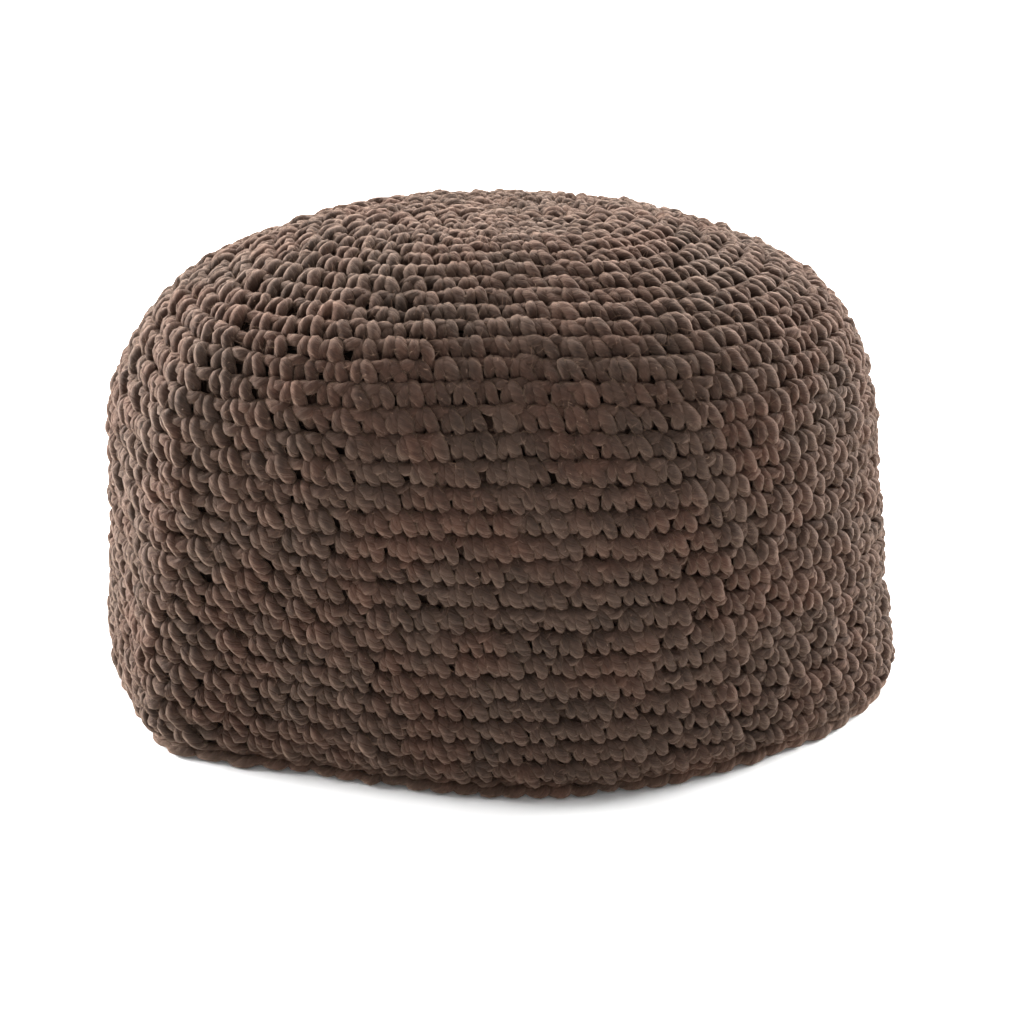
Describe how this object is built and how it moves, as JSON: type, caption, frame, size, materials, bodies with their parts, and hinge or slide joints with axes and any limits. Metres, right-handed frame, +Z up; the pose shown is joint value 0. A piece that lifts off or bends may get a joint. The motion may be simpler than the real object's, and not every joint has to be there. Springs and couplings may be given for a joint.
{
  "type": "kufi cap",
  "caption": "Brimless crocheted wool cap with a low domed crown, a ribbed upright wall, a crisp crease on one side and a finishing round along the rim.",
  "frame": {"origin": "middle of the box on the surface that the rim rests on", "axes": "+Z up through the crown, -Y towards the side shown in the picture, X along the longest width"},
  "size_m": [0.2118, 0.1616, 0.1162],
  "materials": {
    "brown_wool": "matt crocheted wool in dark brown with a slight heather, ribbed by its rounds, with a soft fuzz that catches light at the edges",
    "brown_wool_edge": "the same wool worked in a smoother, slightly lighter finishing round"
  },
  "bodies": {
    "root": {"cap_body": "brown_wool", "rim_edging": "brown_wool_edge"}
  },
  "joints": []
}
